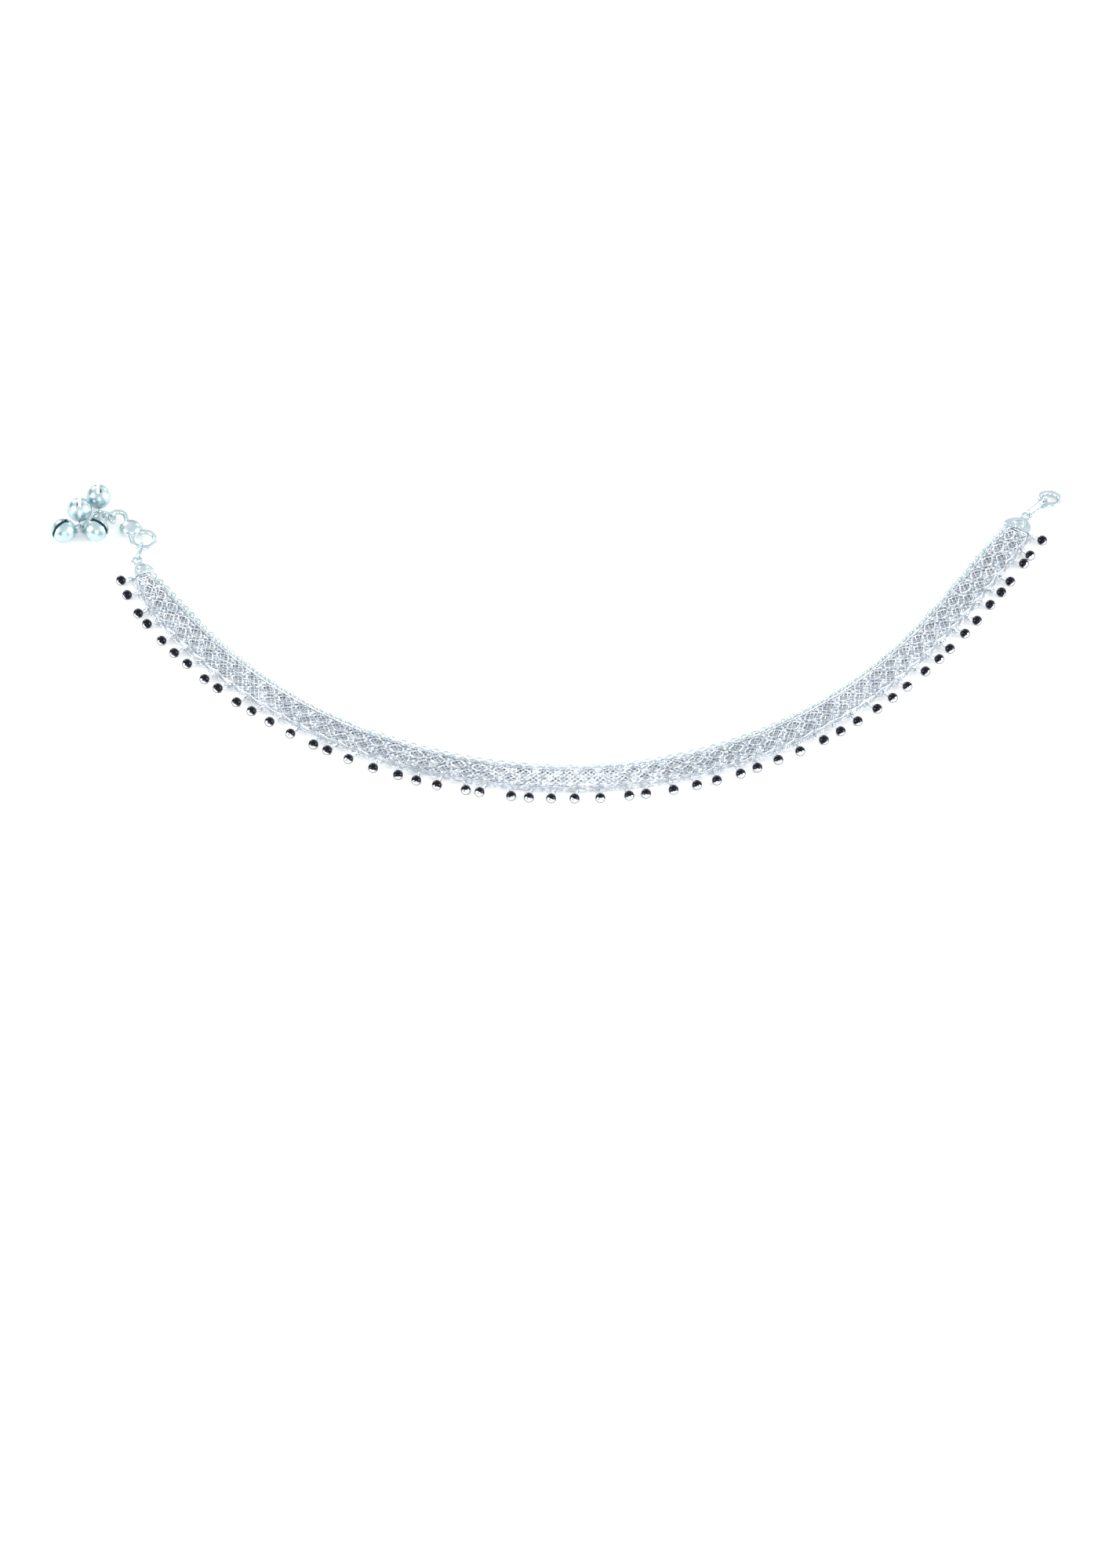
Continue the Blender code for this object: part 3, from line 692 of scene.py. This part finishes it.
def bead_tree():
    """A round bead at a distance along local x from every point."""
    tree, given = new_tree("beads", ("Bead radius", "Bead reach"))
    radius = given["Bead radius"]
    ball = add_node(tree, "GeometryNodeMeshUVSphere", {"Segments": 20, "Rings": 12, "Radius": radius})
    lying = add_node(tree, "GeometryNodeTransform", {"Geometry": ball, "Rotation": (0.0, math.pi / 2, 0.0)})
    here = add_node(tree, "GeometryNodeInputPosition")
    apart = add_node(tree, "ShaderNodeSeparateXYZ", {0: here}).outputs
    inward = maths(tree, "SUBTRACT", apart["Z"], apart["X"])
    share = maths(tree, "DIVIDE", inward, radius)
    facing = maths(tree, "MULTIPLY_ADD", share, math.sqrt(0.5), 1.0)
    marked = add_node(
        tree,
        "GeometryNodeStoreNamedAttribute",
        {"Geometry": lying, "Name": "blackened", "Value": facing},
        data_type="FLOAT",
        domain="POINT",
    )
    outward = add_node(tree, "ShaderNodeCombineXYZ", {"X": given["Bead reach"]})
    bead = add_node(tree, "GeometryNodeTransform", {"Geometry": marked, "Translation": outward})
    points = add_node(tree, "GeometryNodeMeshToPoints", {"Mesh": given["Geometry"]})
    lay = add_node(tree, "GeometryNodeInputNamedAttribute", {"Name": "lay"}, data_type="FLOAT_VECTOR")
    turn = add_node(tree, "FunctionNodeEulerToRotation", {0: lay})
    hung = add_node(
        tree, "GeometryNodeInstanceOnPoints", {"Points": points, "Instance": bead, "Rotation": turn}
    )
    finish_tree(tree, given, hung)
    return tree


def placed(point, heading, dip=0.0, roll=0.0):
    """Matrix whose local x axis looks along the heading, dipped below the level and rolled about itself."""
    turn = Matrix.Rotation(heading, 4, "Z") @ Matrix.Rotation(dip, 4, "Y") @ Matrix.Rotation(roll, 4, "X")
    return Matrix.Translation(point) @ turn


def even_turns(count):
    """Angles at even steps round a circle."""
    return [math.tau * k / count for k in range(count)]


def bail_path(at):
    """Upright oval of wire, from behind the edge wire to just inside the bead."""
    far = bead_reach - bead_radius + bail_wire
    half = (far + bail_reach) / 2
    return [
        at @ Vector((far - half + half * math.cos(t), 0.0, bail_reach * math.sin(t))) for t in even_turns(14)
    ]


fringe_wire = grown(
    "fringe_wire",
    paths_object([edge_path(fringe_across, fringe_height, fringe_tail)]),
    twist_tree(),
    {"Strand radius": strand_radius, "Twist pitch": twist_pitch, "Step": twist_step},
    lattice_silver,
)
bead_dip = -math.asin((bead_radius + floor_gap - fringe_height) / bead_reach)
swings = random.Random(7)
spreads = random.Random(11)
bead_points, bead_lays, bead_spreads, bail_paths = [], [], [], []
for i in range(bead_count):
    heading = heading_at(i * pitch) - math.pi / 2 + math.radians(swings.uniform(-bead_swing, bead_swing))
    point = on_band(i * pitch, fringe_across, fringe_height)
    bead_points.append(point)
    bead_lays.append((0.0, bead_dip, heading))
    bead_spreads.append(spreads.uniform(*black_range))
    bail_paths.append(bail_path(placed(point, heading, bead_dip)))
beads = grown(
    "beads",
    points_object(bead_points, lay=bead_lays, black_spread=bead_spreads),
    bead_tree(),
    {"Bead radius": bead_radius, "Bead reach": bead_reach},
    bead_silver,
)
bail_sizes = {"Wire radius": bail_wire, "Sides": 6}
bails = grown("bails", paths_object(bail_paths, True), round_wire, bail_sizes, lattice_silver)
fringe = joined("fringe", beads, bails, fringe_wire)
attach(fringe, "root")
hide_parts("bead_fringe")

# End caps.
# A crimped cap of sheet silver holds each end of the lattice. It has a low dome with a beaded foot
# soldered on it, and a flat eye at its tip for the next link.
cap_length = 0.0031
cap_edge = 0.00016
cap_dome = {"radius": 0.00125, "height": 0.0006, "centre": 0.0013, "foot": 0.0003}
cap_grains = {"ring": cap_dome["radius"] + 0.00004, "count": 18, "radius": 0.00016, "height": 0.00002}
eye_reach = 0.0044
eye_wire = 0.0003
eye_radius = 0.00098
tab = {"half_width": 0.00075, "half_height": eye_wire * 0.85, "edge": 0.0001}
link_wire = 0.00025
link_gap = 0.00015

bright_silver = silver(
    "bright_silver", (0.70, 0.78, 0.80), (0.55, 0.65, 0.68), 300.0, 3200.0, 0.20, 0.36, 0.15
)
# Painted shade: a grey rim round the outline of the caps, hook, links and rings, where the surface turns from
# sight.
painted_rim_shade(bright_silver, (0.22, 0.26, 0.28), 0.4, 0.9)


def moved(point, heading, distance):
    """Point at a level distance in a heading."""
    return point + Vector((math.cos(heading), math.sin(heading), 0.0)) * distance


def height_on_links(thickness):
    """Middle height of a piece that lies on the bottom wires of the upright links."""
    return floor_gap + 2 * link_wire + link_gap + thickness / 2


def arc(centre, radius, start, end, steps):
    """Points of an arc in the local xy plane, with the angles in degrees."""
    turns = np.radians(np.linspace(start, end, steps + 1))
    return [(centre + radius * math.cos(t), radius * math.sin(t), 0.0) for t in turns]


def full_circle(centre, radius, steps):
    """Points round a circle in the local xy plane."""
    return arc(centre, radius, 0.0, 360.0, steps)[:-1]


def turned_shell(profile, sides, matrix):
    """Smooth solid turned about the local z axis; profile points of radius 0 close its poles."""
    bm = bmesh.new()
    rows = []
    for radius, height in profile:
        turns = even_turns(sides) if radius else [0.0]
        points = [Vector((radius * math.cos(t), radius * math.sin(t), height)) for t in turns]
        rows.append([bm.verts.new(matrix @ point) for point in points])
    for low_row, high_row in zip(rows, rows[1:]):
        for k in range(sides):
            n = (k + 1) % sides
            if len(low_row) == 1:
                bm.faces.new((low_row[0], high_row[n], high_row[k]))
            elif len(high_row) == 1:
                bm.faces.new((low_row[k], low_row[n], high_row[0]))
            else:
                bm.faces.new((low_row[k], low_row[n], high_row[n], high_row[k]))
    for end in (rows[0], rows[-1]):
        if len(end) > 1:
            bm.faces.new(end)
    return solid_from(bm)


def solid_from(bm):
    """Object from a closed solid's faces, shaded smooth between its sharp edges."""
    bmesh.ops.recalc_face_normals(bm, faces=bm.faces)
    mesh = bpy.data.meshes.new("part")
    bm.to_mesh(mesh)
    bm.free()
    mesh.shade_smooth()
    mesh.set_sharp_from_angle(angle=math.radians(40.0))
    mesh.materials.append(bright_silver)
    return new_object("part", mesh)


def dome_profile(radius, rise, foot, rings):
    """Low dome over a straight foot, with its lower edge rounded."""
    turns = [math.pi / 2 * i / rings for i in range(rings)]
    return [(radius, -foot)] + [(radius * math.cos(t), rise * math.sin(t)) for t in turns] + [(0.0, rise)]


def flat_plate(outline, bottom, top, edge, matrix):
    """Sheet cut to an outline, with its edges softly rounded."""
    bm = bmesh.new()
    low_row = [bm.verts.new((x, y, bottom)) for x, y in outline]
    high_row = [bm.verts.new((x, y, top)) for x, y in outline]
    for i in range(len(outline)):
        n = (i + 1) % len(outline)
        bm.faces.new((low_row[i], low_row[n], high_row[n], high_row[i]))
    bm.faces.new(low_row[::-1])
    bm.faces.new(high_row)
    rims = [e for e in bm.edges if abs(e.verts[0].co.z - e.verts[1].co.z) < 1e-9]
    bmesh.ops.bevel(bm, geom=rims, offset=edge, segments=3, affect="EDGES", profile=0.5)
    bm.transform(matrix)
    return solid_from(bm)


def wire_along(path, radius, sides, matrix, closed=True):
    """Wire of a radius along a local path."""
    source = paths_object([[matrix @ Vector(p) for p in path]], closed)
    sizes = {"Wire radius": radius, "Sides": sides, "Rounded ends": True}
    return grown("wire", source, round_wire, sizes, bright_silver)


def grain_ring(ring, matrix):
    """Small grains in a ring about the local z axis."""
    spots = [
        matrix @ Vector((ring["ring"] * math.cos(t), ring["ring"] * math.sin(t), ring["height"]))
        for t in even_turns(ring["count"])
    ]
    return grains_on(spots, [ring["radius"]] * ring["count"], bright_silver)


def dressed(piece, node):
    """Names a finished piece after the solid that it stands for, and fixes it in the frame."""
    piece.name = node + "_dressed"
    piece.data.name = piece.name
    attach(piece, "root")
    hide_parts(node)


def end_cap(node, along, heading):
    """Dressed cap; returns the middle of its eye."""
    low_side = narrowed(along, -(band_inner + seam_gap + 2 * chain_radius))
    high_side = narrowed(along, band_outer - band_scallop)
    turn = heading_at(along)
    root = on_band(along, 0.0) + Vector((math.sin(turn), -math.cos(turn), 0.0)) * (low_side + high_side) / 2
    at = placed(moved(root, heading, seam_gap), heading)
    rounded_end = arc(0.0, 1.0, -90.0, 90.0, 28)
    outline = [(x * cap_length, y * (high_side - low_side) / 2) for x, y, z in rounded_end]
    body = flat_plate(outline, 0.0, band_thickness, cap_edge, at)
    seat = at @ Matrix.Translation((cap_dome["centre"], 0.0, band_thickness))
    profile = dome_profile(cap_dome["radius"], cap_dome["height"], cap_dome["foot"], 8)
    dome = turned_shell(profile, 28, seat)
    beading = grain_ring(cap_grains, seat)
    eye = eye_reach - seam_gap
    level = at @ Matrix.Translation((0.0, 0.0, height_on_links(2 * eye_wire)))
    ring = wire_along(full_circle(eye, eye_radius, 32), eye_wire, 10, level)
    near, far, side = cap_dome["centre"], eye - eye_radius, tab["half_width"]
    tongue = [(near, -side), (far, -side), (far, side), (near, side)]
    tongue_plate = flat_plate(tongue, -tab["half_height"], tab["half_height"], tab["edge"], level)
    dressed(joined("cap", body, dome, beading, ring, tongue_plate), node)
    return moved(root, heading, eye_reach)


out_left = heading_at(0.0) + math.pi
out_right = heading_at(band_length)
eye_left = end_cap("end_cap_left", 0.0, out_left)
eye_right = end_cap("end_cap_right", band_length, out_right)

# Clasp hook.
# The clasp is an S of thick drawn wire: a closed loop for the link, and an open tip that catches the
# ring. A domed disc with a beaded rim is soldered over its middle. An oval link ties it to the cap.
hook_wire = 0.00055
hook_loop_radius = 0.0024
hook_tip_radius = 0.0016
hook_spacing = 0.0086
hook_turn = 13.6
hook_disc = {"radius": 0.0025, "height": 0.0016, "foot": 0.0004, "inset": 0.00022}
hook_grains = {"ring": hook_disc["radius"] - 0.00024, "count": 26, "radius": 0.00024, "height": 0.00004}
hook_seat = hook_wire + link_gap + link_wire
hook_link = {"turn": -38.0, "span": 0.0039}
eye_rim = 0.00065
eye_inset = eye_rim - link_gap - link_wire


def oval_link(node, start, heading, span, inner_height):
    """Oval link standing on edge from a start point."""
    height = inner_height + 2 * link_wire
    near = arc(height / 2, height / 2, 90.0, 270.0, 12)
    far = arc(span - height / 2, height / 2, -90.0, 90.0, 12)
    at = placed(Vector((start.x, start.y, height / 2 + link_wire + floor_gap)), heading, 0.0, math.pi / 2)
    dressed(wire_along(near + far, link_wire, 10, at), node)


tall = 2 * hook_wire + 2 * link_gap
turn = out_left + math.radians(hook_link["turn"])
start = moved(eye_left, turn, eye_inset)
reach = hook_link["span"] + 2 * link_wire
oval_link("hook_link", start, turn, reach, tall)
hook_loop = moved(start, turn, reach - hook_seat + hook_loop_radius)
turn = out_left + math.radians(hook_turn)
hook_at = placed(Vector((hook_loop.x, hook_loop.y, height_on_links(2 * hook_wire))), turn)
bend = math.degrees(math.acos((hook_loop_radius + hook_tip_radius) / hook_spacing))
hook_path = arc(0.0, hook_loop_radius, -20.0, bend - 360.0, 40)
hook_path += arc(hook_spacing, hook_tip_radius, 180.0 + bend, 460.0, 36)
hook_body = wire_along(hook_path, hook_wire, 14, hook_at, closed=False)
disc_at = hook_at @ Matrix.Translation((hook_spacing / 2, 0.0, 0.0))
disc_profile = dome_profile(
    hook_disc["radius"] - hook_disc["inset"], hook_disc["height"], hook_disc["foot"], 12
)
disc = turned_shell(disc_profile, 40, disc_at)
dressed(joined("hook", hook_body, disc, grain_ring(hook_grains, disc_at)), "clasp_hook")
hook_tip = moved(hook_loop, turn, hook_spacing)

# Bells, with their rings and links.
# Four small jingle bells of pressed silver hang in a bunch: each is two halves soldered at a seam,
# with a slit across its mouth and a wire ear. Two jump rings carry them, tied by oval links.
ring_radius = 0.0012
ring_seat = 2 * link_wire + link_gap
bell_radius = 0.0027
bell_skin = bell_radius - 0.00010
bell_wall = 0.0003
bell_seam = {"radius": bell_radius - 0.00017, "wire": 0.0001}
bell_slit = 0.00035
slit_hole = {"radius": bell_slit * 1.7, "back": bell_radius * 0.2, "side": bell_radius * 0.75}
ear_radius = 0.00062
ear_wire = 0.0002
bell_links = {"near": {"turn": 54.0, "span": 0.0011}, "far": {"turn": 108.0, "span": 0.0034}}
bells = (
    {"node": "bell_1", "ring": "far", "turn": 100.0},
    {"node": "bell_2", "ring": "far", "turn": 217.0},
    {"node": "bell_3", "ring": "far", "turn": -25.0},
    {"node": "bell_4", "ring": "near", "turn": -21.0},
)

bell_silver = silver(
    "bell_silver", (0.60, 0.74, 0.78), (0.44, 0.58, 0.62), 260.0, 3200.0, 0.24, 0.42, 0.15
)
# Painted shade: a grey rim round each bell's outline, where the surface turns from sight.
painted_rim_shade(bell_silver, (0.22, 0.26, 0.28), 0.5, 0.9)


def round_ring(node, centre, radius, wire, height, heading=0.0, dip=0.0):
    """Round jump ring, flat or dipped along its heading."""
    at = placed(Vector((centre.x, centre.y, height)), heading, dip)
    dressed(wire_along(full_circle(0.0, radius, 40), wire, 12, at), node)


def ball_profile(radius, rings):
    """Half circle from pole to pole."""
    turns = [math.pi * i / rings for i in range(1, rings)]
    return [(0.0, -radius)] + [(radius * math.sin(t), -radius * math.cos(t)) for t in turns] + [(0.0, radius)]


def bell_shell():
    """Thin ball cut by a slit that ends in two round holes, as a plain mesh along local x."""
    along = Matrix.Rotation(math.pi / 2, 4, "Y")
    shell = turned_shell(ball_profile(bell_skin, 22), 40, along)
    cutters = [turned_shell(ball_profile(bell_skin - bell_wall, 16), 32, along)]
    slot = bmesh.new()
    bmesh.ops.create_cube(slot, size=1.0)
    slot_size = Matrix.Diagonal((bell_radius * 2, bell_slit * 2, bell_radius * 3, 1.0))
    slot.transform(Matrix.Translation((-slit_hole["back"] - bell_radius, 0.0, 0.0)) @ slot_size)
    cutters.append(solid_from(slot))
    rod = [(slit_hole["radius"], -bell_radius / 2), (slit_hole["radius"], bell_radius / 2)]
    for side in (-1, 1):
        hole_at = Matrix.Translation((-slit_hole["back"], 0.0, side * slit_hole["side"]))
        cutters.append(turned_shell(rod, 20, hole_at))
    for cutter in cutters:
        step = shell.modifiers.new("Cut", "BOOLEAN")
        step.operation = "DIFFERENCE"
        step.object = cutter
        step.solver = "EXACT"
    seen = shell.evaluated_get(bpy.context.evaluated_depsgraph_get())
    mesh = bpy.data.meshes.new_from_object(seen)
    mesh.set_sharp_from_angle(angle=math.radians(30.0))
    mesh.materials[0] = bell_silver
    for item in [shell, *cutters]:
        bpy.data.objects.remove(item)
    return mesh


shell_mesh = bell_shell()


def jingle_bell(node, ring_centre, heading):
    """Bell on the table beside its ring, with its ear round the ring's wire."""
    ear_reach = bell_radius + ear_radius
    dip = math.asin((bell_radius + floor_gap - height_on_links(2 * link_wire)) / ear_reach)
    middle = moved(ring_centre, heading, ring_radius + math.cos(dip) * ear_reach)
    at = placed(Vector((middle.x, middle.y, bell_radius + floor_gap)), heading + math.pi, dip)
    shell = new_object("shell", shell_mesh.copy())
    shell.data.transform(at)
    across = at @ Matrix.Rotation(math.pi / 2, 4, "Y")
    seam = wire_along(full_circle(0.0, bell_seam["radius"], 56), bell_seam["wire"], 8, across)
    upright = at @ Matrix.Rotation(math.pi / 2, 4, "X")
    ear = wire_along(full_circle(ear_reach, ear_radius, 24), ear_wire, 10, upright)
    dressed(joined("bell", shell, seam, ear), node)


turn = out_left + math.radians(bell_links["near"]["turn"])
start = moved(hook_tip, turn, hook_tip_radius - hook_seat)
reach = hook_seat + bell_links["near"]["span"] + ring_seat
oval_link("bell_link_near", start, turn, reach, tall)
near_ring = moved(start, turn, reach - ring_seat + ring_radius)
turn = out_left + math.radians(bell_links["far"]["turn"])
start = moved(near_ring, turn, ring_radius - ring_seat)
reach = bell_links["far"]["span"] + 2 * ring_seat
oval_link("bell_link_far", start, turn, reach, 2 * link_wire + 2 * link_gap)
far_ring = moved(start, turn, reach - ring_seat + ring_radius)
round_ring("bell_ring_near", near_ring, ring_radius, link_wire, height_on_links(2 * link_wire))
round_ring("bell_ring_far", far_ring, ring_radius, link_wire, height_on_links(2 * link_wire))
for bell in bells:
    carrier = near_ring if bell["ring"] == "near" else far_ring
    jingle_bell(bell["node"], carrier, out_left + math.radians(bell["turn"]))

# Closing ring.
# The hook catches a plain ring of thick wire at the band's other end, which an oval link holds on the
# cap's eye. It leans on the link with one side and lies on the table with the other.
closing_radius = 0.00208
closing_wire = 0.0006
ring_link = {"turn": -13.0, "span": 0.0053}

turn = out_right + math.radians(ring_link["turn"])
start = moved(eye_right, turn, eye_inset)
reach = ring_link["span"] + 2 * link_wire
oval_link("ring_link", start, turn, reach, 2 * closing_wire + 2 * link_gap)
raised, lying = height_on_links(2 * closing_wire), floor_gap + closing_wire
dip = math.asin((raised - lying) / (2 * closing_radius))
centre = moved(start, turn, reach - closing_wire - link_gap - link_wire + closing_radius * math.cos(dip))
round_ring("closing_ring", centre, closing_radius, closing_wire, (raised + lying) / 2, turn, dip)

# Table, light and camera.
# The anklet lies on a plain white table in a bright tent that is darker low down, most of all on its
# left, and the polished metal mirrors that. Of five soft lamps the strong ones stand at the sides, the
# weaker ones in front and behind. The camera looks down at 45 degrees, far off, through a long lens.
lamp_size = 0.6
lamps = (
    {"name": "light_left", "place": (-1.5, -0.5, 0.65), "power": 19.0},
    {"name": "light_right", "place": (1.5, -0.4, 0.65), "power": 20.0},
    {"name": "light_front", "place": (0.1, -1.6, 0.5), "power": 5.0},
    {"name": "light_back_left", "place": (-0.9, 1.3, 0.65), "power": 6.0},
    {"name": "light_back_right", "place": (1.0, 1.2, 0.65), "power": 2.0},
)
aim = Vector((-0.0017, -0.0397, 0.0))
elevation = math.radians(45.0)
camera_distance = 7.215

bpy.ops.mesh.primitive_plane_add(size=20.0, location=(0.0, 0.0, -0.00001))
table = bpy.context.object
table.name = "table"
white = bpy.data.materials.new("white_table")
white.use_nodes = True
feed(
    white.node_tree.nodes["Principled BSDF"],
    {
        "Base Color": (0.93, 0.93, 0.93, 1.0),
        "Roughness": 0.9,
        "Emission Color": (1.0, 1.0, 1.0, 1.0),
        "Emission Strength": 0.22,
    },
)
table.data.materials.append(white)


def soft_light(name, place, power):
    """Square soft light that points at the anklet and stays out of the camera's sight."""
    lamp = bpy.data.lights.new(name, "AREA")
    lamp.shape = "SQUARE"
    lamp.size = lamp_size
    lamp.energy = power
    made = new_object(name, lamp)
    made.location = place
    made.rotation_euler = (-Vector(place)).to_track_quat("-Z", "Y").to_euler()
    made.visible_camera = False


for lamp in lamps:
    soft_light(lamp["name"], lamp["place"], lamp["power"])

tent = bpy.data.worlds.new("tent")
bpy.context.scene.world = tent
tent.use_nodes = True
tree = tent.node_tree
toward = add_node(tree, "ShaderNodeTexCoord").outputs["Generated"]
parts = add_node(tree, "ShaderNodeSeparateXYZ", {0: toward}).outputs
slant = maths(tree, "MULTIPLY_ADD", parts["X"], 0.24, parts["Z"])
rise = add_node(tree, "ShaderNodeMapRange", {"Value": slant, "From Min": 0.05, "From Max": 0.42})
cloth = add_node(
    tree,
    "ShaderNodeMix",
    {0: rise, 6: (0.16, 0.17, 0.18, 1.0), 7: (0.94, 0.98, 1.0, 1.0)},
    data_type="RGBA",
)
feed(tree.nodes["Background"], {"Color": cloth.outputs[2], "Strength": 0.97})

bpy.context.scene.view_settings.view_transform = "Standard"

lens = bpy.data.cameras.new("camera")
lens.lens = 800.0
lens.sensor_width = 36.0
lens.clip_start = 0.01
lens.clip_end = 50.0
camera = new_object("camera", lens)
camera.location = aim + Vector((0.0, -math.cos(elevation), math.sin(elevation))) * camera_distance
camera.rotation_euler = (math.pi / 2 - elevation, 0.0, 0.0)
bpy.context.scene.camera = camera
